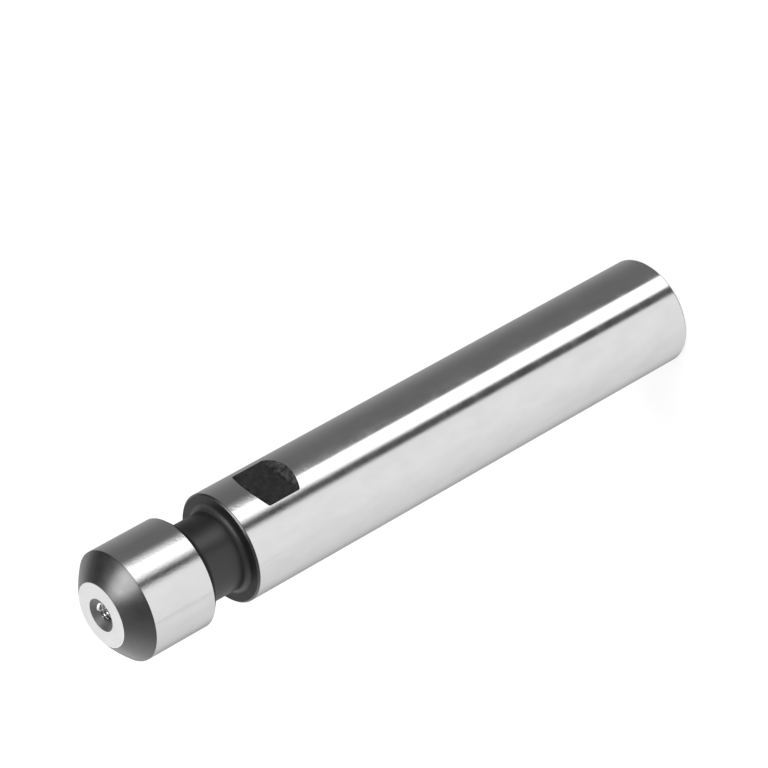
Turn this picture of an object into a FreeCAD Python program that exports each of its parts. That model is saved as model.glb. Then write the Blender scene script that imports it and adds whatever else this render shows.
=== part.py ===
"""Mould coupling rod: one hardened and ground steel rod, turned from solid.

The rod stands on its rear face with its axis on Z, in millimetres.  From the bottom up it has a
tapped rear end, a long ground shank with two spanner flats, a narrow neck that the coupling's jaws
close on, and a short head with a rounded conical nose that finds its way into the coupling.
Both end faces have a countersunk hole, cored for its thread.
"""
import FreeCAD, Part
import math
import os
import Sketcher

# Driving dimensions, millimetres and degrees
SIZES = [
    ("rod_length", 200.0, "rear face to front face"),
    ("shank_diameter", 32.0, "ground diameter, shank and head alike"),
    ("head_length", 26.5, "head with its nose"),
    ("neck_length", 13.5, "shoulder face to the back of the head"),
    ("neck_depth", 4.5, "ground surface to the turned neck"),
    ("shoulder_root_radius", 1.5, "foot of the neck at the shoulder"),
    ("head_root_radius", 2.2, "foot of the neck at the head"),
    ("nose_length", 5.5, "conical nose, along the axis"),
    ("nose_radius", 38.0, "slow curve of the nose's profile"),
    ("front_face_diameter", 18.6, "flat front of the nose"),
    ("rear_chamfer", 0.5, "edge of the rear face"),
    ("shoulder_chamfer", 0.5, "edge of the shank's shoulder"),
    ("head_back_chamfer", 1.4, "edge at the back of the head"),
    ("across_flats", 28.0, "spanner size"),
    ("flat_width", 9.7, "level floor of a flat, along the axis"),
    ("flat_setback", 16.0, "shoulder face to the middle of the flats"),
    ("flat_corner_radius", 1.0, "foot of each sloping end of a flat"),
    ("flat_end_angle", 45.0, "slope of a flat's ends, from square"),
    ("front_mouth_diameter", 9.6, "countersink in the front face"),
    ("front_core_diameter", 5.0, "core of the M6 thread"),
    ("front_core_depth", 21.0, "from the front face to the drill's shoulder"),
    ("rear_mouth_diameter", 17.0, "countersink in the rear face"),
    ("rear_core_diameter", 14.0, "core of the M16 thread"),
    ("rear_core_depth", 40.0, "from the rear face to the drill's shoulder"),
    ("countersink_angle", 120.0, "both countersinks, full angle"),
    ("drill_point_angle", 118.0, "full angle at the bottom of both holes"),
]
SIZE = {name: value for name, value, note in SIZES}

# Point numbers that the sketcher uses
START = 1
END = 2
ORIGIN = (-1, 1)


def make_sheet(doc):
    """Put every driving dimension in a cell of its own, under its own name."""
    sheet = doc.addObject("Spreadsheet::Sheet", "Sizes")
    for row, (name, value, note) in enumerate(SIZES, start=1):
        sheet.set("A%d" % row, name)
        sheet.set("B%d" % row, str(value))
        sheet.set("C%d" % row, note)
        sheet.setAlias("B%d" % row, name)
    return sheet


def add_sketch(body, name, plane_role):
    """Start a sketch on one of the body's own origin planes."""
    sketch = body.newObject("Sketcher::SketchObject", name)
    for feature in body.Origin.OriginFeatures:
        if feature.Role == plane_role:
            sketch.AttachmentSupport = [(feature, "")]
    sketch.MapMode = "FlatFace"
    return sketch


def add_line(sketch, start, end):
    segment = Part.LineSegment(FreeCAD.Vector(*start, 0), FreeCAD.Vector(*end, 0))
    return sketch.addGeometry(segment, False)


def add_arc(sketch, centre, radius, start_angle, end_angle):
    """Arc drawn anticlockwise from its start to its end."""
    circle = Part.Circle(FreeCAD.Vector(*centre, 0), FreeCAD.Vector(0, 0, 1), radius)
    return sketch.addGeometry(Part.ArcOfCircle(circle, start_angle, end_angle), False)


def join(sketch, *pairs):
    """Make pairs of end points coincide."""
    for first, second in pairs:
        sketch.addConstraint(Sketcher.Constraint("Coincident", *first, *second))


def smooth(sketch, *pairs):
    """Join pairs of end points with a common tangent."""
    for first, second in pairs:
        sketch.addConstraint(Sketcher.Constraint("Tangent", *first, *second))


def upright(sketch, *lines):
    for line in lines:
        sketch.addConstraint(Sketcher.Constraint("Vertical", line))


def level(sketch, *lines):
    for line in lines:
        sketch.addConstraint(Sketcher.Constraint("Horizontal", line))


def bind(sketch, name, expression, kind, *where):
    """Add a dimension and bind it to the sheet.

    The value that the dimension starts with is measured on the drawn geometry, so a sketch is
    never far from its solution.
    """
    if kind == "Radius":
        start_value = sketch.Geometry[where[0]].Radius
    elif kind == "Angle":
        line = sketch.Geometry[where[0]]
        gap = line.EndPoint - line.StartPoint
        start_value = math.atan2(gap.y, gap.x)
    else:
        first = sketch.getPoint(where[0], where[1])
        second = sketch.getPoint(where[2], where[3])
        gap = second - first
        start_value = gap.x if kind == "DistanceX" else gap.y
    index = sketch.addConstraint(Sketcher.Constraint(kind, *where, start_value))
    sketch.renameConstraint(index, name)
    sketch.setExpression("Constraints.%s" % name, expression)


def draw_outline(body):
    """Half section of the turned rod, radius along X and height along Z."""
    sketch = add_sketch(body, "TurnedOutline", "XZ_Plane")
    radius = SIZE["shank_diameter"] / 2
    neck = radius - SIZE["neck_depth"]
    lower = SIZE["shoulder_root_radius"]
    upper = SIZE["head_root_radius"]
    face = SIZE["front_face_diameter"] / 2
    top = SIZE["rod_length"]
    nose_foot = top - SIZE["nose_length"]
    head_back = top - SIZE["head_length"]
    shoulder = head_back - SIZE["neck_length"]
    rear_edge = SIZE["rear_chamfer"]
    shoulder_edge = SIZE["shoulder_chamfer"]
    back_edge = SIZE["head_back_chamfer"]

    rear_face = add_line(sketch, (0, 0), (radius - rear_edge, 0))
    rear_bevel = add_line(sketch, (radius - rear_edge, 0), (radius, rear_edge))
    shank = add_line(sketch, (radius, rear_edge), (radius, shoulder - shoulder_edge))
    shoulder_bevel = add_line(sketch, (radius, shoulder - shoulder_edge), (radius - shoulder_edge, shoulder))
    shoulder_face = add_line(sketch, (radius - shoulder_edge, shoulder), (neck + lower, shoulder))
    lower_root = add_arc(sketch, (neck + lower, shoulder + lower), lower, math.pi, 1.5 * math.pi)
    neck_wall = add_line(sketch, (neck, shoulder + lower), (neck, head_back - upper))
    upper_root = add_arc(sketch, (neck + upper, head_back - upper), upper, 0.5 * math.pi, math.pi)
    back_face = add_line(sketch, (neck + upper, head_back), (radius - back_edge, head_back))
    back_bevel = add_line(sketch, (radius - back_edge, head_back), (radius, head_back + back_edge))
    head = add_line(sketch, (radius, head_back + back_edge), (radius, nose_foot))
    nose = add_nose(sketch, radius, face, nose_foot, top)
    front_face = add_line(sketch, (face, top), (0, top))
    axis = add_line(sketch, (0, top), (0, 0))

    join(sketch,
         ((rear_face, START), ORIGIN),
         ((rear_face, END), (rear_bevel, START)),
         ((rear_bevel, END), (shank, START)),
         ((shank, END), (shoulder_bevel, START)),
         ((shoulder_bevel, END), (shoulder_face, START)),
         ((back_face, END), (back_bevel, START)),
         ((back_bevel, END), (head, START)),
         ((head, END), (nose, START)),
         ((nose, END), (front_face, START)),
         ((front_face, END), (axis, START)),
         ((axis, END), (rear_face, START)))
    smooth(sketch,
           ((shoulder_face, END), (lower_root, END)),
           ((lower_root, START), (neck_wall, START)),
           ((neck_wall, END), (upper_root, END)),
           ((upper_root, START), (back_face, START)))
    level(sketch, rear_face, shoulder_face, back_face, front_face)
    upright(sketch, shank, neck_wall, head, axis)

    bind(sketch, "ShankRadius", "Sizes.shank_diameter / 2", "DistanceX", *ORIGIN, shank, START)
    bind(sketch, "HeadRadius", "Sizes.shank_diameter / 2", "DistanceX", *ORIGIN, head, START)
    bind(sketch, "NeckDepth", "Sizes.neck_depth", "DistanceX", neck_wall, END, head, START)
    bind(sketch, "FaceRadius", "Sizes.front_face_diameter / 2", "DistanceX", *ORIGIN, nose, END)
    bind(sketch, "Length", "Sizes.rod_length", "DistanceY", *ORIGIN, axis, START)
    bind(sketch, "HeadLength", "Sizes.head_length", "DistanceY", back_face, START, front_face, END)
    bind(sketch, "NeckLength", "Sizes.neck_length", "DistanceY", shoulder_face, END, back_face, START)
    bind(sketch, "NoseLength", "Sizes.nose_length", "DistanceY", nose, START, nose, END)
    bind(sketch, "NoseCurve", "Sizes.nose_radius", "Radius", nose)
    bind(sketch, "LowerRoot", "Sizes.shoulder_root_radius", "Radius", lower_root)
    bind(sketch, "UpperRoot", "Sizes.head_root_radius", "Radius", upper_root)
    bind(sketch, "RearBevelIn", "Sizes.rear_chamfer", "DistanceX", rear_bevel, START, rear_bevel, END)
    bind(sketch, "RearBevelUp", "Sizes.rear_chamfer", "DistanceY", rear_bevel, START, rear_bevel, END)
    bind(sketch, "ShoulderBevelIn", "Sizes.shoulder_chamfer", "DistanceX",
         shoulder_bevel, END, shoulder_bevel, START)
    bind(sketch, "ShoulderBevelUp", "Sizes.shoulder_chamfer", "DistanceY",
         shoulder_bevel, START, shoulder_bevel, END)
    bind(sketch, "BackBevelIn", "Sizes.head_back_chamfer", "DistanceX", back_bevel, START, back_bevel, END)
    bind(sketch, "BackBevelUp", "Sizes.head_back_chamfer", "DistanceY", back_bevel, START, back_bevel, END)
    return sketch


def add_nose(sketch, radius, face, nose_foot, top):
    """Slow convex curve from the head's edge to the front face."""
    curve = SIZE["nose_radius"]
    chord = math.hypot(radius - face, top - nose_foot)
    along = ((face - radius) / chord, (top - nose_foot) / chord)
    depth = math.sqrt(curve ** 2 - (chord / 2) ** 2)
    centre = ((radius + face) / 2 - along[1] * depth, (nose_foot + top) / 2 + along[0] * depth)
    start_angle = math.atan2(nose_foot - centre[1], radius - centre[0])
    end_angle = math.atan2(top - centre[1], face - centre[0])
    return add_arc(sketch, centre, curve, start_angle, end_angle)


def draw_hole(body, side, face, inward):
    """Half section of a tapped hole before its thread: countersink, core and drill point.

    face is the height of the end face, and inward is +1 or -1, the way that the hole goes.
    """
    sketch = add_sketch(body, side.capitalize() + "HoleOutline", "XZ_Plane")
    mouth = SIZE[side + "_mouth_diameter"] / 2
    core = SIZE[side + "_core_diameter"] / 2
    cone_foot = face + inward * (mouth - core) / math.tan(math.radians(SIZE["countersink_angle"] / 2))
    core_foot = face + inward * SIZE[side + "_core_depth"]
    point = core_foot + inward * core / math.tan(math.radians(SIZE["drill_point_angle"] / 2))

    mouth_line = add_line(sketch, (0, face), (mouth, face))
    cone = add_line(sketch, (mouth, face), (core, cone_foot))
    core_wall = add_line(sketch, (core, cone_foot), (core, core_foot))
    drill_cone = add_line(sketch, (core, core_foot), (0, point))
    axis = add_line(sketch, (0, point), (0, face))

    join(sketch,
         ((mouth_line, END), (cone, START)),
         ((cone, END), (core_wall, START)),
         ((core_wall, END), (drill_cone, START)),
         ((drill_cone, END), (axis, START)),
         ((axis, END), (mouth_line, START)))
    level(sketch, mouth_line)
    upright(sketch, core_wall, axis)
    if face:
        sketch.addConstraint(Sketcher.Constraint("PointOnObject", mouth_line, START, -2))
        bind(sketch, "FaceHeight", "Sizes.rod_length", "DistanceY", *ORIGIN, mouth_line, START)
    else:
        join(sketch, ((mouth_line, START), ORIGIN))

    def bind_depth(name, expression, near, far):
        """Distance into the rod from one point to a deeper one."""
        lower, upper = (near, far) if inward > 0 else (far, near)
        bind(sketch, name, expression, "DistanceY", *lower, *upper)

    bind(sketch, "MouthRadius", "Sizes.%s_mouth_diameter / 2" % side, "DistanceX", *ORIGIN, cone, START)
    bind(sketch, "CoreRadius", "Sizes.%s_core_diameter / 2" % side, "DistanceX", *ORIGIN, core_wall, START)
    cone_width = "(Sizes.%s_mouth_diameter - Sizes.%s_core_diameter) / 2" % (side, side)
    bind_depth("ConeDepth", cone_width + " / tan(Sizes.countersink_angle / 2 * 1deg)",
               (cone, START), (cone, END))
    bind_depth("CoreDepth", "Sizes.%s_core_depth" % side, (mouth_line, START), (core_wall, END))
    bind_depth("PointDepth", "Sizes.%s_core_diameter / 2 / tan(Sizes.drill_point_angle / 2 * 1deg)" % side,
               (drill_cone, START), (drill_cone, END))
    return sketch


def draw_flat(body):
    """Side view of the slot that leaves one spanner flat, with its sloping ends."""
    sketch = add_sketch(body, "FlatOutline", "YZ_Plane")
    floor = SIZE["across_flats"] / 2
    outside = SIZE["shank_diameter"]
    corner = SIZE["flat_corner_radius"]
    slope = math.radians(SIZE["flat_end_angle"])
    shoulder = SIZE["rod_length"] - SIZE["head_length"] - SIZE["neck_length"]
    middle = shoulder - SIZE["flat_setback"]
    low = middle - SIZE["flat_width"] / 2
    high = middle + SIZE["flat_width"] / 2
    foot = floor + corner - corner * math.sin(slope)
    rise = corner * math.cos(slope)
    run = (outside - foot) * math.tan(slope)

    lower_wall = add_line(sketch, (outside, low - rise - run), (foot, low - rise))
    lower_corner = add_arc(sketch, (floor + corner, low), corner, math.pi, 1.5 * math.pi - slope)
    flat = add_line(sketch, (floor, low), (floor, high))
    upper_corner = add_arc(sketch, (floor + corner, high), corner, 0.5 * math.pi + slope, math.pi)
    upper_wall = add_line(sketch, (foot, high + rise), (outside, high + rise + run))
    open_side = add_line(sketch, (outside, high + rise + run), (outside, low - rise - run))

    smooth(sketch,
           ((lower_wall, END), (lower_corner, END)),
           ((lower_corner, START), (flat, START)),
           ((flat, END), (upper_corner, END)),
           ((upper_corner, START), (upper_wall, START)))
    join(sketch,
         ((upper_wall, END), (open_side, START)),
         ((open_side, END), (lower_wall, START)))
    upright(sketch, flat, open_side)

    bind(sketch, "HalfAcrossFlats", "Sizes.across_flats / 2", "DistanceX", *ORIGIN, flat, START)
    bind(sketch, "OpenSide", "Sizes.shank_diameter", "DistanceX", *ORIGIN, open_side, START)
    shoulder_height = "Sizes.rod_length - Sizes.head_length - Sizes.neck_length"
    bind(sketch, "FloorHeight", shoulder_height + " - Sizes.flat_setback - Sizes.flat_width / 2",
         "DistanceY", *ORIGIN, flat, START)
    bind(sketch, "FloorWidth", "Sizes.flat_width", "DistanceY", flat, START, flat, END)
    bind(sketch, "LowerSlope", "180 deg - Sizes.flat_end_angle * 1 deg", "Angle", lower_wall)
    bind(sketch, "UpperSlope", "Sizes.flat_end_angle * 1 deg", "Angle", upper_wall)
    bind(sketch, "LowerCorner", "Sizes.flat_corner_radius", "Radius", lower_corner)
    bind(sketch, "UpperCorner", "Sizes.flat_corner_radius", "Radius", upper_corner)
    return sketch


def add_turned(body, kind, name, sketch):
    """Revolve a half section about the rod's axis."""
    feature = body.newObject(kind, name)
    feature.Profile = sketch
    feature.ReferenceAxis = (sketch, ["V_Axis"])
    feature.Angle = 360
    sketch.Visibility = False
    return feature


def recompute_and_compare(doc, body, old_volume, name):
    """Recompute, and make sure that a cut has taken metal away."""
    doc.recompute()
    new_volume = body.Shape.Volume
    if old_volume and new_volume >= old_volume:
        raise RuntimeError("%s cuts nothing" % name)
    return new_volume


def build_rod(doc):
    body = doc.addObject("PartDesign::Body", "CouplingRod")
    body.Label = "coupling_rod"

    add_turned(body, "PartDesign::Revolution", "TurnedRod", draw_outline(body))
    volume = recompute_and_compare(doc, body, None, "TurnedRod")

    for side, face, inward in (("front", SIZE["rod_length"], -1), ("rear", 0, 1)):
        name = side.capitalize() + "Hole"
        add_turned(body, "PartDesign::Groove", name, draw_hole(body, side, face, inward))
        volume = recompute_and_compare(doc, body, volume, name)

    flat = body.newObject("PartDesign::Pocket", "SpannerFlat")
    flat.Profile = draw_flat(body)
    flat.Type = "ThroughAll"
    flat.Midplane = True
    volume = recompute_and_compare(doc, body, volume, "SpannerFlat")

    pair = body.newObject("PartDesign::PolarPattern", "SpannerFlatPair")
    pair.Originals = [flat]
    for feature in body.Origin.OriginFeatures:
        if feature.Role == "Z_Axis":
            pair.Axis = (feature, [""])
    pair.Angle = 360
    pair.Occurrences = 2
    body.Tip = pair
    recompute_and_compare(doc, body, volume, "SpannerFlatPair")
    return body


def check_document(doc, bodies):
    """Stop before anything is written if an object failed."""
    for item in doc.Objects:
        for state in item.State:
            if state in ("Invalid", "Error"):
                raise RuntimeError("%s is %s" % (item.Name, state))
    for body in bodies:
        if body.Shape.isNull() or not body.Shape.isValid():
            raise RuntimeError("%s has no valid shape" % body.Label)
        if len(body.Shape.Solids) != 1:
            raise RuntimeError("%s isn't one solid" % body.Label)


def main():
    doc = FreeCAD.newDocument("MouldCouplingRod")
    make_sheet(doc)
    doc.recompute()
    bodies = [build_rod(doc)]
    check_document(doc, bodies)
    os.makedirs("parts", exist_ok=True)
    for body in bodies:
        body.Shape.exportStep("parts/%s.step" % body.Label)
        print("%s: %.1f mm3" % (body.Label, body.Shape.Volume))


main()
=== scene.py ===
"""Looks of the mould coupling rod: ground steel, black finish, cut threads, and a plain white studio."""

import math

import bmesh
import bpy
from mathutils import Matrix, Vector


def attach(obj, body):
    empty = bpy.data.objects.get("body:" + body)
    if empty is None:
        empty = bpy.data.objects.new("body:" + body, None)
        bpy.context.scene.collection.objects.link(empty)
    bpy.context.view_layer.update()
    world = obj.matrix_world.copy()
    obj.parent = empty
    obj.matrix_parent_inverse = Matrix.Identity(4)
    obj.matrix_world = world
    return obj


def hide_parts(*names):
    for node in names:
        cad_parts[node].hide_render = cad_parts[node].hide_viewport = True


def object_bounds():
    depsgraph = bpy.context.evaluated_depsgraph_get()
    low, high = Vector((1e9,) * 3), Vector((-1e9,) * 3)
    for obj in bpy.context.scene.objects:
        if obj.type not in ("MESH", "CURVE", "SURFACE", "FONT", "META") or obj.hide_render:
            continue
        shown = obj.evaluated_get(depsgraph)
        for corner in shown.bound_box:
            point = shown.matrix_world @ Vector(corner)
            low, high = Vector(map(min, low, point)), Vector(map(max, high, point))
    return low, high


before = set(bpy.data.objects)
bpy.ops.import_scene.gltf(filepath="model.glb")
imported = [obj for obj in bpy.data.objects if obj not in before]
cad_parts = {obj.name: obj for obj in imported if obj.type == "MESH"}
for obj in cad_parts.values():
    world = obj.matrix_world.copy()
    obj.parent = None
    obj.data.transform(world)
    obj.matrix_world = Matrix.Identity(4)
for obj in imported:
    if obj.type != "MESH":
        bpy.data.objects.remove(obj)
cad_low, cad_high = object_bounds()

# Sizes of the rod in millimetres, its axis on Z and its rear face at 0
MM = 0.001
LENGTH = (cad_high.z - cad_low.z) / MM
RADIUS = 16.0
NECK_RADIUS = 11.5
SHOULDER_ROOT = 1.5
HEAD_ROOT = 2.2
HEAD_LENGTH = 26.5
NECK_LENGTH = 13.5
NOSE_LENGTH = 5.5
NOSE_CURVE = 38.0
FACE_RADIUS = 9.3
REAR_CHAMFER = 0.5
SHOULDER_CHAMFER = 0.5
BACK_CHAMFER = 1.4
HALF_ACROSS_FLATS = 14.0
FLAT_WIDTH = 9.7
FLAT_SETBACK = 16.0
FLAT_CORNER = 1.0
FLAT_END_ANGLE = 45.0
FRONT_MOUTH = 4.8
FRONT_CORE = 2.5
FRONT_PITCH = 1.0
FRONT_THREAD_DEPTH = 16.0
FRONT_CORE_DEPTH = 21.0
REAR_MOUTH = 8.5
REAR_CORE = 7.0
REAR_PITCH = 2.0
REAR_THREAD_DEPTH = 32.0
REAR_CORE_DEPTH = 40.0
THREAD_HEIGHT = 0.54
THREAD_TURN = 0.5
CONE_SLOPE = math.tan(math.radians(60))
DRILL_SLOPE = math.tan(math.radians(59))
HEAD_BACK = LENGTH - HEAD_LENGTH
SHOULDER = HEAD_BACK - NECK_LENGTH
NOSE_FOOT = LENGTH - NOSE_LENGTH
FLAT_MIDDLE = SHOULDER - FLAT_SETBACK
CUTTER_OUTSIDE = RADIUS * 1.5
CUTTER_HALF_LENGTH = RADIUS * 1.2

# Small breaks on the turned edges, and the plain land round each hole's mouth, millimetres
EDGE_BREAK = 0.12
FINE_BREAK = 0.06
MOUTH_LAND = 0.02
# The most that a break takes of a short stretch, as a share of it
BREAK_SHARE = 0.45

# Fineness of the mesh
AROUND = 384
AROUND_HOLE = 128
ARC_STEPS = 10
BREAK_STEPS = 3
CORNER_STEPS = 6
NOSE_STEPS = 20
ROWS_PER_PITCH = 12

# What counts as a sharp edge, as a vertex on the countersink (mm), and as part of the ground cylinder
SHARP_ANGLE = math.radians(20)
CONE_TOLERANCE = 0.01
CYLINDER_SHARE = 0.9995
CYLINDER_TILT = 0.01

# Finishes, in the order of the mesh's material slots
GROUND, FACE, NOSE, NECK, ROOT, SEAT, FLAT, SLOPE, SINK, BORE = range(10)


def arc(centre, radius, start, end, steps):
    """Points on an arc of the half section, angles in degrees from the outward direction."""
    points = []
    for step in range(steps + 1):
        angle = math.radians(start + (end - start) * step / steps)
        points.append((centre[0] + radius * math.cos(angle), centre[1] + radius * math.sin(angle)))
    return points


def nose_arc():
    """Slow curve from the head's edge to the front face."""
    chord = math.hypot(RADIUS - FACE_RADIUS, NOSE_LENGTH)
    along = ((FACE_RADIUS - RADIUS) / chord, NOSE_LENGTH / chord)
    depth = math.sqrt(NOSE_CURVE ** 2 - (chord / 2) ** 2)
    middle = ((RADIUS + FACE_RADIUS) / 2, (NOSE_FOOT + LENGTH) / 2)
    centre = (middle[0] - along[1] * depth, middle[1] + along[0] * depth)
    start = math.degrees(math.atan2(NOSE_FOOT - centre[1], RADIUS - centre[0]))
    end = math.degrees(math.atan2(LENGTH - centre[1], FACE_RADIUS - centre[0]))
    return arc(centre, NOSE_CURVE, start, end, NOSE_STEPS)


def break_corner(before, corner, after, size):
    """Replace a sharp corner of the half section by a small round one."""
    first = Vector(before) - Vector(corner)
    second = Vector(after) - Vector(corner)
    reach_first = min(size, first.length * BREAK_SHARE)
    reach_second = min(size, second.length * BREAK_SHARE)
    start = Vector(corner) + first.normalized() * reach_first
    end = Vector(corner) + second.normalized() * reach_second
    points = []
    for step in range(BREAK_STEPS + 1):
        share = step / BREAK_STEPS
        near = start.lerp(Vector(corner), share)
        far = Vector(corner).lerp(end, share)
        points.append(tuple(near.lerp(far, share)))
    return points


def outer_section():
    """The turned outside from the rear hole's mouth to the front hole's mouth.

    Stretches, (points, finish), alternate with the breaks between them, (size, finish).  A break of
    size 0 is a plain change of finish.
    """
    shoulder_root = (NECK_RADIUS + SHOULDER_ROOT, SHOULDER + SHOULDER_ROOT)
    head_root = (NECK_RADIUS + HEAD_ROOT, HEAD_BACK - HEAD_ROOT)
    shoulder_arc = arc(shoulder_root, SHOULDER_ROOT, 270, 180, ARC_STEPS)
    head_arc = arc(head_root, HEAD_ROOT, 180, 90, ARC_STEPS)
    return [
        ([(REAR_MOUTH + MOUTH_LAND, 0), (RADIUS - REAR_CHAMFER, 0)], FACE),
        (EDGE_BREAK, FACE),
        ([(RADIUS - REAR_CHAMFER, 0), (RADIUS, REAR_CHAMFER)], NOSE),
        (FINE_BREAK, NOSE),
        ([(RADIUS, REAR_CHAMFER), (RADIUS, SHOULDER - SHOULDER_CHAMFER)], GROUND),
        (FINE_BREAK, NOSE),
        ([(RADIUS, SHOULDER - SHOULDER_CHAMFER), (RADIUS - SHOULDER_CHAMFER, SHOULDER)], NOSE),
        (EDGE_BREAK, ROOT),
        ([(RADIUS - SHOULDER_CHAMFER, SHOULDER), shoulder_arc[0]], SEAT),
        (0.0, ROOT),
        (shoulder_arc, ROOT),
        (0.0, NECK),
        (shoulder_arc[-1:] + head_arc[:1], NECK),
        (0.0, ROOT),
        (head_arc, ROOT),
        (0.0, SEAT),
        ([head_arc[-1], (RADIUS - BACK_CHAMFER, HEAD_BACK)], SEAT),
        (EDGE_BREAK, ROOT),
        ([(RADIUS - BACK_CHAMFER, HEAD_BACK), (RADIUS, HEAD_BACK + BACK_CHAMFER)], ROOT),
        (FINE_BREAK, ROOT),
        ([(RADIUS, HEAD_BACK + BACK_CHAMFER), (RADIUS, NOSE_FOOT)], GROUND),
        (FINE_BREAK, NOSE),
        (nose_arc(), NOSE),
        (EDGE_BREAK, FACE),
        ([(FACE_RADIUS, LENGTH), (FRONT_MOUTH + MOUTH_LAND, LENGTH)], FACE),
    ]


def section_rows(section):
    """Turn stretches and breaks into rows of (radius, height, finish of the band that follows)."""
    stretches = [item for item in section if isinstance(item[0], list)]
    breaks = [item for item in section if not isinstance(item[0], list)]
    rows = []
    for index, (points, finish) in enumerate(stretches):
        points = list(points)
        if index > 0:
            size, break_finish = breaks[index - 1]
            before = stretches[index - 1][0][-2]
            if size:
                corner = break_corner(before, points[0], points[1], size)
                rows.extend((r, z, break_finish) for r, z in corner[:-1])
                points[0] = corner[-1]
        if index < len(stretches) - 1:
            points = points[:-1]
        rows.extend((r, z, finish) for r, z in points)
    return rows


def ring_of(mesh, radius_at, height, count):
    """One closed ring of vertices; radius_at gives the radius at each angle."""
    ring = []
    for index in range(count):
        angle = 2 * math.pi * index / count
        radius = radius_at(angle)
        place = Vector((radius * math.cos(angle), radius * math.sin(angle), height))
        ring.append(mesh.verts.new(place * MM))
    return ring


def skin(mesh, lower, upper, finish):
    """Quads between two rings of the same count."""
    count = len(lower)
    faces = []
    for index in range(count):
        after = (index + 1) % count
        face = mesh.faces.new((lower[index], lower[after], upper[after], upper[index]))
        face.material_index = finish
        face.smooth = True
        faces.append(face)
    return faces


def skin_step(mesh, fine, coarse, finish):
    """Flat ring between a fine circle and a coarse one."""
    share = len(fine) // len(coarse)
    for index in range(len(coarse)):
        after = (index + 1) % len(coarse)
        outer = [fine[(index * share + step) % len(fine)] for step in range(share + 1)]
        face = mesh.faces.new(outer + [coarse[after], coarse[index]])
        face.material_index = finish
        face.smooth = True


def thread_depth(share, height):
    """Depth of a metric thread at a share of its pitch, from the crest's flat to the root's."""
    root_flat = 0.125
    crest_flat = 0.25
    across = abs(share - 0.5) * 2
    rise = (across - root_flat) / (1 - crest_flat - root_flat)
    return height * (1 - min(1.0, max(0.0, rise)))


def build_hole(mesh, face, inward, mouth, core, pitch, thread_end, core_end):
    """A countersunk hole with a right-hand thread, closed by the drill's point.

    face is the height of the end face, and inward is +1 or -1, the way that the hole goes.  The
    ring at its mouth is returned.
    """
    rows = round(thread_end / pitch * ROWS_PER_PITCH)
    rings = []
    for row in range(rows + 1):
        depth = thread_end * row / rows
        place = face + inward * depth
        cone = mouth - depth * CONE_SLOPE
        fade = min(1.0, (thread_end - depth) / pitch)

        def radius_at(angle):
            """The countersink's radius or the thread's, whichever is larger."""
            share = (place / pitch - angle / (2 * math.pi) + THREAD_TURN) % 1.0
            return max(cone, core + fade * thread_depth(share, THREAD_HEIGHT * pitch))

        rings.append(ring_of(mesh, radius_at, place, AROUND_HOLE))
    bottom = face + inward * core_end
    rings.append(ring_of(mesh, lambda angle: core, bottom, AROUND_HOLE))

    def on_cone(vertex):
        """Whether a vertex lies on the countersink."""
        depth = (vertex.co.z / MM - face) * inward
        reach = math.hypot(vertex.co.x, vertex.co.y) / MM
        return abs(reach - (mouth - depth * CONE_SLOPE)) < CONE_TOLERANCE

    for lower, upper in zip(rings, rings[1:]):
        for wall in skin(mesh, lower, upper, BORE):
            if all(on_cone(vertex) for vertex in wall.verts):
                wall.material_index = SINK
    tip = mesh.verts.new(Vector((0, 0, bottom + inward * core / DRILL_SLOPE)) * MM)
    last = rings[-1]
    for index in range(len(last)):
        point = mesh.faces.new((last[index], last[(index + 1) % len(last)], tip))
        point.material_index = BORE
        point.smooth = True
    return rings[0]


def build_turned():
    """The turned rod with both holes, before its flats are milled."""
    mesh = bmesh.new()
    rows = section_rows(outer_section())
    rings = []
    for radius, height, finish in rows:
        rings.append(ring_of(mesh, lambda angle: radius, height, AROUND))
    for index in range(len(rings) - 1):
        skin(mesh, rings[index], rings[index + 1], rows[index][2])

    front = build_hole(mesh, LENGTH, -1, FRONT_MOUTH, FRONT_CORE, FRONT_PITCH,
                       FRONT_THREAD_DEPTH, FRONT_CORE_DEPTH)
    rear = build_hole(mesh, 0.0, 1, REAR_MOUTH, REAR_CORE, REAR_PITCH, REAR_THREAD_DEPTH, REAR_CORE_DEPTH)
    skin_step(mesh, rings[-1], front, FACE)
    skin_step(mesh, rings[0], rear, FACE)

    bmesh.ops.recalc_face_normals(mesh, faces=mesh.faces)
    data = bpy.data.meshes.new("turned_rod")
    mesh.to_mesh(data)
    mesh.free()
    return bpy.data.objects.new("turned_rod", data)


def flat_section():
    """Side view of the milled slot in (distance from the axis, height)."""
    centre = HALF_ACROSS_FLATS + FLAT_CORNER
    turn = 90 - FLAT_END_ANGLE
    lower = arc((centre, FLAT_MIDDLE - FLAT_WIDTH / 2), FLAT_CORNER, 180 + turn, 180, CORNER_STEPS)
    upper = arc((centre, FLAT_MIDDLE + FLAT_WIDTH / 2), FLAT_CORNER, 180, 180 - turn, CORNER_STEPS)
    run = (CUTTER_OUTSIDE - lower[0][0]) * math.tan(math.radians(FLAT_END_ANGLE))
    first = (CUTTER_OUTSIDE, lower[0][1] - run)
    last = (CUTTER_OUTSIDE, upper[-1][1] + run)
    return [first] + lower + upper + [last]


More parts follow.
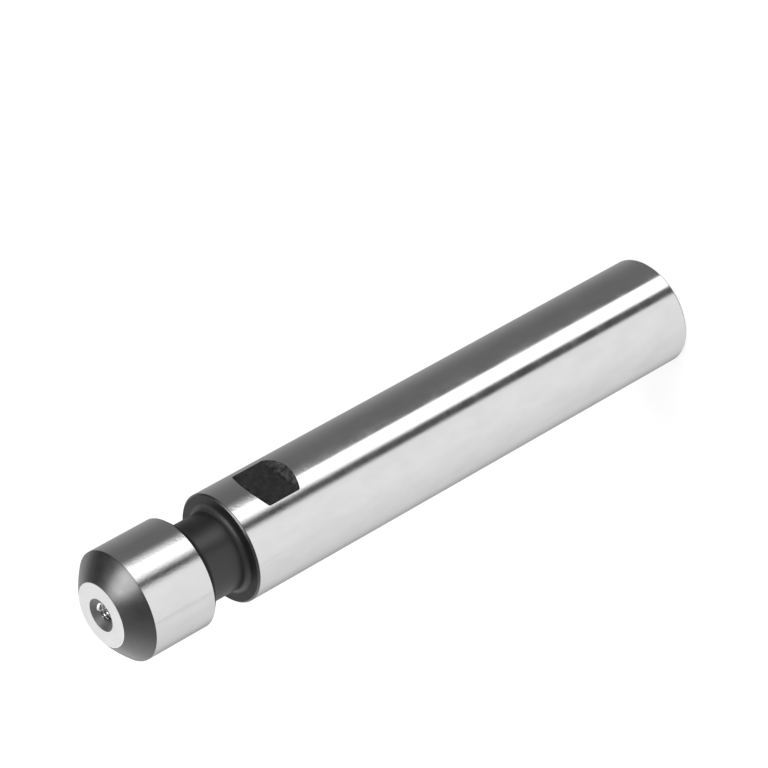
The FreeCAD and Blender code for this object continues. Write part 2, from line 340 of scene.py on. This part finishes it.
def build_cutter(side):
    """A bar as long as the slot, with the cutter's rounded corners; side is -1 or +1 along Y."""
    mesh = bmesh.new()
    ends = []
    for x in (-CUTTER_HALF_LENGTH, CUTTER_HALF_LENGTH):
        ends.append([mesh.verts.new(Vector((x, side * y, z)) * MM) for y, z in flat_section()])
    left, right = ends
    count = len(left)
    for index in range(count):
        after = (index + 1) % count
        mesh.faces.new((left[index], left[after], right[after], right[index]))
    mesh.faces.new(left)
    mesh.faces.new(right)
    bmesh.ops.recalc_face_normals(mesh, faces=mesh.faces)
    for face in mesh.faces:
        off_middle = abs(face.calc_center_median().z / MM - FLAT_MIDDLE)
        face.smooth = True
        face.material_index = FLAT if off_middle < FLAT_WIDTH / 2 else SLOPE
    data = bpy.data.meshes.new("slot_cutter")
    mesh.to_mesh(data)
    mesh.free()
    return bpy.data.objects.new("slot_cutter", data)


def cut_flats(rod):
    """Mill both spanner flats and return the finished mesh."""
    cutters = [build_cutter(side) for side in (-1, 1)]
    for item in [rod] + cutters:
        bpy.context.scene.collection.objects.link(item)
    for cutter in cutters:
        for finish in FINISHES:
            cutter.data.materials.append(finish)
        cut = rod.modifiers.new("flat", "BOOLEAN")
        cut.operation = "DIFFERENCE"
        cut.solver = "EXACT"
        cut.object = cutter
    graph = bpy.context.evaluated_depsgraph_get()
    data = bpy.data.meshes.new_from_object(rod.evaluated_get(graph))
    for item in [rod] + cutters:
        bpy.data.objects.remove(item)
    return data


def weighted_normals(data):
    """Sharp edges by angle, and elsewhere normals that the larger faces lead."""
    mesh = bmesh.new()
    mesh.from_mesh(data)
    for edge in mesh.edges:
        edge.smooth = not (len(edge.link_faces) == 2 and edge.calc_face_angle(0) > SHARP_ANGLE)
    mesh.to_mesh(data)
    mesh.free()
    holder = bpy.data.objects.new("holder", data)
    bpy.context.scene.collection.objects.link(holder)
    lead = holder.modifiers.new("normals", "WEIGHTED_NORMAL")
    lead.keep_sharp = True
    graph = bpy.context.evaluated_depsgraph_get()
    finished = bpy.data.meshes.new_from_object(holder.evaluated_get(graph))
    bpy.data.objects.remove(holder)
    return finished


def true_cylinder(data):
    """Exact normals on the ground cylinder."""
    limit = RADIUS * MM * CYLINDER_SHARE
    normals = [Vector(item.vector) for item in data.corner_normals]
    for polygon in data.polygons:
        if polygon.material_index != GROUND or abs(polygon.normal.z) > CYLINDER_TILT:
            continue
        for corner in polygon.loop_indices:
            place = data.vertices[data.loops[corner].vertex_index].co
            if math.hypot(place.x, place.y) > limit:
                normals[corner] = Vector((place.x, place.y, 0)).normalized()
    data.normals_split_custom_set(normals)


# Shader helpers

def new_material(name):
    """A material, its node tree and its shader."""
    material = bpy.data.materials.new(name)
    material.use_nodes = True
    tree = material.node_tree
    shader = tree.nodes["Principled BSDF"]
    return material, tree, shader


def add(tree, kind, **settings):
    """A new node with its settings."""
    node = tree.nodes.new(kind)
    for name, value in settings.items():
        setattr(node, name, value)
    return node


def math_node(tree, operation, first, second=None, third=None):
    """A sum, product or the like of numbers and sockets."""
    node = add(tree, "ShaderNodeMath", operation=operation)
    for socket, value in zip(node.inputs, (first, second, third)):
        if value is None:
            continue
        if hasattr(value, "is_output"):
            tree.links.new(value, socket)
        else:
            socket.default_value = value
    return node.outputs[0]


def remap(tree, value, low, high, to_low, to_high, smooth=False):
    """Spread the range from low to high over to_low to to_high, and hold it beyond both."""
    node = add(tree, "ShaderNodeMapRange")
    if smooth:
        node.interpolation_type = "SMOOTHSTEP"
    tree.links.new(value, node.inputs["Value"])
    for name, number in (("From Min", low), ("From Max", high), ("To Min", to_low), ("To Max", to_high)):
        node.inputs[name].default_value = number
    return node.outputs["Result"]


# The middle range of a noise, which holds most of it
NOISE_RANGE = (0.3, 0.7)


def spread(tree, noise, low, high):
    """The middle range of a noise, spread from low to high."""
    return remap(tree, noise, *NOISE_RANGE, low, high)


def place_of(tree):
    """The place on the piece, in metres."""
    return add(tree, "ShaderNodeTexCoord").outputs["Object"]


def stretched_noise(tree, source, across, along, detail=2.0, rough=0.5):
    """Noise with its own number of marks a metre across and along the rod."""
    mapping = add(tree, "ShaderNodeMapping")
    mapping.inputs["Scale"].default_value = (across, across, along)
    tree.links.new(source, mapping.inputs["Vector"])
    noise = add(tree, "ShaderNodeTexNoise")
    noise.inputs["Scale"].default_value = 1.0
    noise.inputs["Detail"].default_value = detail
    noise.inputs["Roughness"].default_value = rough
    tree.links.new(mapping.outputs[0], noise.inputs["Vector"])
    return noise.outputs["Fac"]


def ring_place(tree, source):
    """Coordinates of a turned face: distance from the axis stands in for height."""
    split = add(tree, "ShaderNodeSeparateXYZ")
    tree.links.new(source, split.inputs[0])
    x, y = split.outputs[0], split.outputs[1]
    radius = math_node(tree, "SQRT", math_node(tree, "ADD", math_node(tree, "MULTIPLY", x, x),
                                               math_node(tree, "MULTIPLY", y, y)))
    join = add(tree, "ShaderNodeCombineXYZ")
    tree.links.new(x, join.inputs[0])
    tree.links.new(y, join.inputs[1])
    tree.links.new(radius, join.inputs[2])
    return join.outputs[0]


def bump(tree, height, distance, normal=None):
    """Small relief, distance metres high, on top of another one."""
    node = add(tree, "ShaderNodeBump")
    node.inputs["Strength"].default_value = 1.0
    node.inputs["Distance"].default_value = distance
    tree.links.new(height, node.inputs["Height"])
    if normal is not None:
        tree.links.new(normal, node.inputs["Normal"])
    return node.outputs["Normal"]


def tint(tree, factor, dark, light):
    """A colour between two."""
    node = add(tree, "ShaderNodeMix", data_type="RGBA")
    tree.links.new(factor, node.inputs["Factor"])
    node.inputs["A"].default_value = (*dark, 1)
    node.inputs["B"].default_value = (*light, 1)
    return node.outputs["Result"]


def finish_shader(tree, shader, colour, rough, normal):
    """Link a surface's colour, roughness and relief to its shader."""
    tree.links.new(colour, shader.inputs["Base Color"])
    tree.links.new(rough, shader.inputs["Roughness"])
    tree.links.new(normal, shader.inputs["Normal"])


# Where along the rod the ground steel's fine grain grows, in metres, and its strength at both ends
GRAIN_RANGE = (0.120, 0.170)
GRAIN_STRENGTH = (0.25, 1.0)
# How much of its colour's change comes from the haze and from the larger patches
HAZE_SHARE = 0.6
PATCH_SHARE = 0.4


def ground_steel():
    """Cylindrically ground: fine rings round the axis, faint waviness, a few degrees of haze."""
    material, tree, shader = new_material("ground_steel")
    place = place_of(tree)
    lines = stretched_noise(tree, place, across=120, along=9000, detail=3)
    waves = stretched_noise(tree, place, across=330, along=260, detail=2)
    grain = stretched_noise(tree, place, across=1900, along=1900, detail=2)
    patches = stretched_noise(tree, place, across=110, along=60, detail=3)
    haze = stretched_noise(tree, place, across=230, along=110, detail=3, rough=0.55)
    split = add(tree, "ShaderNodeSeparateXYZ")
    tree.links.new(place, split.inputs[0])
    toward_head = remap(tree, split.outputs[2], *GRAIN_RANGE, *GRAIN_STRENGTH)
    shader.inputs["Metallic"].default_value = 1.0
    clouds = remap(tree, haze, 0.35, 0.65, 0.0, HAZE_SHARE)
    stain = math_node(tree, "ADD", clouds, math_node(tree, "MULTIPLY", patches, PATCH_SHARE))
    colour = tint(tree, stain, dark=(0.693, 0.693, 0.703), light=(0.76, 0.76, 0.765))
    line_rough = spread(tree, lines, 0.09, 0.15)
    haze_rough = remap(tree, haze, 0.4, 0.75, 0.0, 0.06)
    fine = bump(tree, lines, distance=0.0000004)
    wavy = bump(tree, waves, distance=0.0000045, normal=fine)
    speckled = bump(tree, grain, distance=0.000016, normal=wavy)
    tree.links.new(toward_head, speckled.node.inputs["Strength"])
    finish_shader(tree, shader, colour, math_node(tree, "ADD", line_rough, haze_rough), speckled)
    return material


def ground_face():
    """Faced and ground end: concentric marks round the axis."""
    material, tree, shader = new_material("ground_face")
    place = ring_place(tree, place_of(tree))
    lines = stretched_noise(tree, place, across=60, along=5200, detail=3)
    patches = stretched_noise(tree, place, across=160, along=500, detail=2)
    shader.inputs["Metallic"].default_value = 1.0
    colour = tint(tree, patches, dark=(0.63, 0.63, 0.638), light=(0.71, 0.71, 0.715))
    relief = bump(tree, lines, distance=0.000001)
    finish_shader(tree, shader, colour, spread(tree, lines, 0.16, 0.30), relief)
    return material


def black_turned(name, index, rough_low, rough_high):
    """Blackened turned surface: satin, with the tool's feed rings showing through."""
    material, tree, shader = new_material(name)
    source = place_of(tree)
    place = ring_place(tree, source)
    rings = stretched_noise(tree, source, across=40, along=3500, detail=2)
    face_rings = stretched_noise(tree, place, across=40, along=3500, detail=2)
    both = math_node(tree, "MULTIPLY", math_node(tree, "ADD", rings, face_rings), 0.5)
    patches = stretched_noise(tree, source, across=300, along=300, detail=4, rough=0.6)
    shader.inputs["IOR"].default_value = index
    colour = tint(tree, patches, dark=(0.004, 0.004, 0.0043), light=(0.009, 0.009, 0.0094))
    relief = bump(tree, both, distance=0.000003)
    finish_shader(tree, shader, colour, spread(tree, patches, rough_low, rough_high), relief)
    return material


# The end mill's arcs: how close they lie, and where their middle is
MILL_SCALE = 620
MILL_OFFSET = -6.0
# How much bluer than grey the milled black is, in its dark and in its light places
COOL_DARK = 1.06
COOL_LIGHT = 1.04


def black_milled(name, index, dark, light, uneven):
    """Blackened milled face: the end mill's arcs across it and a mottled black; uneven is in metres."""
    material, tree, shader = new_material(name)
    source = place_of(tree)
    wave = add(tree, "ShaderNodeTexWave", wave_type="RINGS", rings_direction="Y")
    mapping = add(tree, "ShaderNodeMapping")
    mapping.inputs["Location"].default_value = (MILL_OFFSET, 0.0, -FLAT_MIDDLE * MM * MILL_SCALE)
    mapping.inputs["Scale"].default_value = (MILL_SCALE, 0, MILL_SCALE)
    tree.links.new(source, mapping.inputs["Vector"])
    tree.links.new(mapping.outputs[0], wave.inputs["Vector"])
    wave.inputs["Scale"].default_value = 1.0
    wave.inputs["Distortion"].default_value = 0.6
    grain = stretched_noise(tree, source, across=900, along=900, detail=3)
    patches = remap(tree, grain, 0.38, 0.62, 0.0, 1.0)
    shader.inputs["IOR"].default_value = index
    colour = tint(tree, patches, (dark, dark, dark * COOL_DARK), (light, light, light * COOL_LIGHT))
    arcs = bump(tree, wave.outputs["Fac"], distance=0.000004)
    relief = bump(tree, grain, distance=uneven, normal=arcs)
    finish_shader(tree, shader, colour, spread(tree, grain, 0.34, 0.5), relief)
    return material


def black_sink():
    """Blackened countersink, half bare where the tool's marks run round it."""
    material, tree, shader = new_material("black_sink")
    place = ring_place(tree, place_of(tree))
    lines = stretched_noise(tree, place, across=80, along=4200, detail=3)
    patches = stretched_noise(tree, place, across=500, along=900, detail=3)
    shader.inputs["Metallic"].default_value = 0.6
    shader.inputs["IOR"].default_value = 1.6
    colour = tint(tree, patches, dark=(0.045, 0.045, 0.046), light=(0.085, 0.085, 0.087))
    relief = bump(tree, lines, distance=0.000002)
    finish_shader(tree, shader, colour, spread(tree, lines, 0.34, 0.46), relief)
    return material


def bore_steel():
    """Drilled and tapped steel, bright, with the drill's marks."""
    material, tree, shader = new_material("bore_steel")
    source = place_of(tree)
    lines = stretched_noise(tree, source, across=300, along=4000, detail=2)
    shader.inputs["Metallic"].default_value = 1.0
    colour = tint(tree, lines, dark=(0.58, 0.58, 0.59), light=(0.74, 0.74, 0.745))
    relief = bump(tree, lines, distance=0.000002)
    finish_shader(tree, shader, colour, spread(tree, lines, 0.14, 0.26), relief)
    return material


# The finishes in the order of their numbers above
FINISHES = [
    ground_steel(),
    ground_face(),
    black_turned("black_nose", index=1.62, rough_low=0.26, rough_high=0.34),
    black_turned("black_neck", index=1.62, rough_low=0.32, rough_high=0.40),
    black_turned("black_root", index=1.45, rough_low=0.42, rough_high=0.52),
    black_turned("black_seat", index=1.30, rough_low=0.42, rough_high=0.52),
    black_milled("black_flat", index=1.45, dark=0.006, light=0.011, uneven=0.0000075),
    black_milled("black_slope", index=1.28, dark=0.002, light=0.030, uneven=0.00006),
    black_sink(),
    bore_steel(),
]


def build_rod():
    """The finished rod as one piece."""
    rod = build_turned()
    for finish in FINISHES:
        rod.data.materials.append(finish)
    data = weighted_normals(cut_flats(rod))
    data.name = "coupling_rod_finished"
    true_cylinder(data)
    piece = bpy.data.objects.new("coupling_rod_finished", data)
    bpy.context.scene.collection.objects.link(piece)
    return piece


rod = build_rod()
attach(rod, "root")
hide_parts("coupling_rod")


# The studio, as directions round the rod in degrees: azimuth from +X towards +Y, and elevation
FILL_LEVEL = 1.0
SLIT_LEVEL = 0.08
STRIP_LEVEL = 1.7
# Edges of the low part that start its dark slit, its strip light and its dark side: azimuth, shift
# along a ramp of elevations, and half width at the ramp's start and end
SLIT_EDGE = (-126.3, 0.0, 2.5, 9.0)
STRIP_EDGE = (-109.0, 2.0, 2.0, 14.0)
DARK_EDGE = (-80.0, 8.3, 0.4, 12.0)
EARLY_RAMP = (-33.0, -27.0)
LATE_RAMP = (-29.6, -28.6)
# The dark side: first and last azimuth of a change, and the level at both
CARD = (-40.0, 50.0, 0.17, 0.40)
LEFT_FILL = (58.0, 108.0, 0.36, 0.77)
LEFT_RISE = (100.0, 180.0, 0.0, 0.23)
CARD_TO_LEFT = (45.0, 60.0, 0.0, 1.0)
# A faint darker seam of the tent: azimuth, change of level, how it fades sideways, and where it
# starts and ends in elevation
SEAM_AZIMUTH = 161.0
SEAM_CHANGE = -0.3
SEAM_FADE = (1.0, 3.5)
SEAM_FOOT = (-28.7, -27.9)
SEAM_TOP = (-26.6, -25.4)
# Elevations between which the low part gives way to the high part
RISE = (-24.0, 4.0)
OVERHEAD = (-77.0, 62.0)
OVERHEAD_SIZE = 17.0
OVERHEAD_SOFT = 4.0
OVERHEAD_LEVEL = 11.0
# Soft lighter and darker places of the tent's top: direction, reach in degrees and change of level
TENT_PATCHES = (
    ((92.0, 28.0), 35.0, 0.75),
    ((55.0, 0.0), 30.0, 0.6),
    ((-14.0, 24.0), 36.0, -0.8),
    ((-172.0, 55.0), 27.0, -0.65),
)


def toward(azimuth, elevation):
    """Unit vector in a direction of the studio."""
    around = math.radians(azimuth)
    up = math.radians(elevation)
    return Vector((math.cos(up) * math.cos(around), math.cos(up) * math.sin(around), math.sin(up)))


def studio_world():
    """White for the camera; for the rod, a light tent with a strip light and dark cards round it."""
    world = bpy.data.worlds.new("studio")
    bpy.context.scene.world = world
    world.use_nodes = True
    tree = world.node_tree
    tree.nodes.clear()
    direction = add(tree, "ShaderNodeTexCoord").outputs["Generated"]
    split = add(tree, "ShaderNodeSeparateXYZ")
    tree.links.new(direction, split.inputs[0])
    x, y, z = split.outputs
    to_degrees = 180 / math.pi
    azimuth = math_node(tree, "MULTIPLY", math_node(tree, "ARCTAN2", y, x), to_degrees)
    elevation = math_node(tree, "MULTIPLY", math_node(tree, "ARCSINE", z), to_degrees)

    def edge(angle, shift, narrow, wide, ramp):
        """0 before an edge of the studio and 1 after it; it shifts and softens along a ramp."""
        middle = math_node(tree, "MULTIPLY_ADD", ramp, shift, angle)
        half = math_node(tree, "MULTIPLY_ADD", ramp, wide - narrow, narrow)
        start = math_node(tree, "SUBTRACT", middle, half)
        end = math_node(tree, "ADD", middle, half)
        node = add(tree, "ShaderNodeMapRange", interpolation_type="SMOOTHSTEP")
        for socket, value in ((0, azimuth), (1, start), (2, end)):
            tree.links.new(value, node.inputs[socket])
        return node.outputs[0]

    def blend(base, top, factor):
        """Mix two levels, numbers or sockets."""
        gap = math_node(tree, "SUBTRACT", top, base)
        return math_node(tree, "MULTIPLY_ADD", gap, factor, base)

    def near(direction_of, size, soft):
        """1 round one direction of the studio and 0 away from it."""
        dot = add(tree, "ShaderNodeVectorMath", operation="DOT_PRODUCT")
        tree.links.new(direction, dot.inputs[0])
        dot.inputs[1].default_value = toward(*direction_of)
        outer = math.cos(math.radians(size + soft))
        inner = math.cos(math.radians(max(0.0, size - soft)))
        return remap(tree, dot.outputs["Value"], outer, inner, 0.0, 1.0, smooth=True)

    # Low part: everything that the upright cylinder reflects
    early = remap(tree, elevation, *EARLY_RAMP, 0.0, 1.0)
    late = remap(tree, elevation, *LATE_RAMP, 0.0, 1.0)
    card = remap(tree, azimuth, *CARD, smooth=True)
    left_fill = remap(tree, azimuth, *LEFT_FILL, smooth=True)
    left = math_node(tree, "ADD", left_fill, remap(tree, azimuth, *LEFT_RISE))
    dark_side = blend(card, left, remap(tree, azimuth, *CARD_TO_LEFT))
    low = blend(FILL_LEVEL, SLIT_LEVEL, edge(*SLIT_EDGE, early))
    low = blend(low, STRIP_LEVEL, edge(*STRIP_EDGE, early))
    low = blend(low, dark_side, edge(*DARK_EDGE, late))
    off_seam = math_node(tree, "ABSOLUTE", math_node(tree, "SUBTRACT", azimuth, SEAM_AZIMUTH))
    foot = remap(tree, elevation, *SEAM_FOOT, 0.0, 1.0)
    top = remap(tree, elevation, *SEAM_TOP, 1.0, 0.0)
    along = math_node(tree, "MULTIPLY", foot, top)
    seam = math_node(tree, "MULTIPLY", remap(tree, off_seam, *SEAM_FADE, 1.0, 0.0), along)
    low = math_node(tree, "MULTIPLY_ADD", seam, SEAM_CHANGE, low)

    # High part: the tent's top, with one overhead soft box
    high = FILL_LEVEL
    for place, reach, change in TENT_PATCHES:
        high = math_node(tree, "MULTIPLY_ADD", near(place, reach / 2, reach / 2), change, high)
    high = blend(high, OVERHEAD_LEVEL, near(OVERHEAD, OVERHEAD_SIZE, OVERHEAD_SOFT))
    rise = remap(tree, elevation, *RISE, 0.0, 1.0, smooth=True)
    level = blend(low, high, rise)

    # The camera alone sees plain white
    studio = add(tree, "ShaderNodeBackground")
    tree.links.new(level, studio.inputs["Strength"])
    plain = add(tree, "ShaderNodeBackground")
    ray = add(tree, "ShaderNodeLightPath")
    choice = add(tree, "ShaderNodeMixShader")
    tree.links.new(ray.outputs["Is Camera Ray"], choice.inputs[0])
    tree.links.new(studio.outputs[0], choice.inputs[1])
    tree.links.new(plain.outputs[0], choice.inputs[2])
    output = add(tree, "ShaderNodeOutputWorld")
    tree.links.new(choice.outputs[0], output.inputs[0])
    for node in (studio, plain):
        node.inputs["Color"].default_value = (1, 1, 1, 1)


studio_world()

# Half the floor's side in metres, its white, and the share of plain white that the camera sees in it
FLOOR_REACH = 6.0
FLOOR_WHITE = 0.9
FLOOR_GLOW = 0.8


def white_floor():
    """Plain white floor under the rod; it keeps a faint shadow."""
    mesh = bmesh.new()
    corners = []
    for x, y in ((-1, -1), (1, -1), (1, 1), (-1, 1)):
        corners.append(mesh.verts.new((x * FLOOR_REACH, y * FLOOR_REACH, 0.0)))
    mesh.faces.new(corners)
    data = bpy.data.meshes.new("floor")
    mesh.to_mesh(data)
    mesh.free()
    floor = bpy.data.objects.new("floor", data)
    bpy.context.scene.collection.objects.link(floor)
    material, tree, shader = new_material("floor_white")
    shader.inputs["Base Color"].default_value = (FLOOR_WHITE, FLOOR_WHITE, FLOOR_WHITE, 1)
    shader.inputs["Roughness"].default_value = 0.9
    shader.inputs["Specular IOR Level"].default_value = 0.0
    glow = add(tree, "ShaderNodeEmission")
    ray = add(tree, "ShaderNodeLightPath")
    share = math_node(tree, "MULTIPLY", ray.outputs["Is Camera Ray"], FLOOR_GLOW)
    choice = add(tree, "ShaderNodeMixShader")
    tree.links.new(share, choice.inputs[0])
    tree.links.new(shader.outputs[0], choice.inputs[1])
    tree.links.new(glow.outputs[0], choice.inputs[2])
    tree.links.new(choice.outputs[0], tree.nodes["Material Output"].inputs["Surface"])
    data.materials.append(material)
    floor.visible_glossy = False


white_floor()

# The photograph's camera: where it looks from, in degrees round the upright rod
VIEW_AZIMUTH = -42.5
VIEW_ELEVATION = 32.109
VIEW_ROLL = -118.553
VIEW_DISTANCE = 1.00942
VIEW_AIM = Vector((0.010013, -0.015077, 0.093066))
LENS = 173.2855


def place_camera():
    """The photograph's camera, rolled because the rod lies in the photograph and stands here."""
    azimuth = math.radians(VIEW_AZIMUTH)
    elevation = math.radians(VIEW_ELEVATION)
    roll = math.radians(VIEW_ROLL)
    out = math.cos(elevation)
    back = Vector((math.sin(azimuth) * out, -math.cos(azimuth) * out, math.sin(elevation)))
    level = Vector((0, 0, 1)).cross(back).normalized()
    upward = back.cross(level)
    right = level * math.cos(roll) + upward * math.sin(roll)
    up = upward * math.cos(roll) - level * math.sin(roll)
    data = bpy.data.cameras.new("camera")
    data.lens = LENS
    data.sensor_width = 36.0
    data.clip_start = 0.05
    data.clip_end = 50.0
    camera = bpy.data.objects.new("camera", data)
    turn = Matrix((right, up, back)).transposed().to_4x4()
    camera.matrix_world = Matrix.Translation(VIEW_AIM + back * VIEW_DISTANCE) @ turn
    bpy.context.scene.collection.objects.link(camera)
    bpy.context.scene.camera = camera


place_camera()
bpy.context.scene.view_settings.view_transform = "Standard"
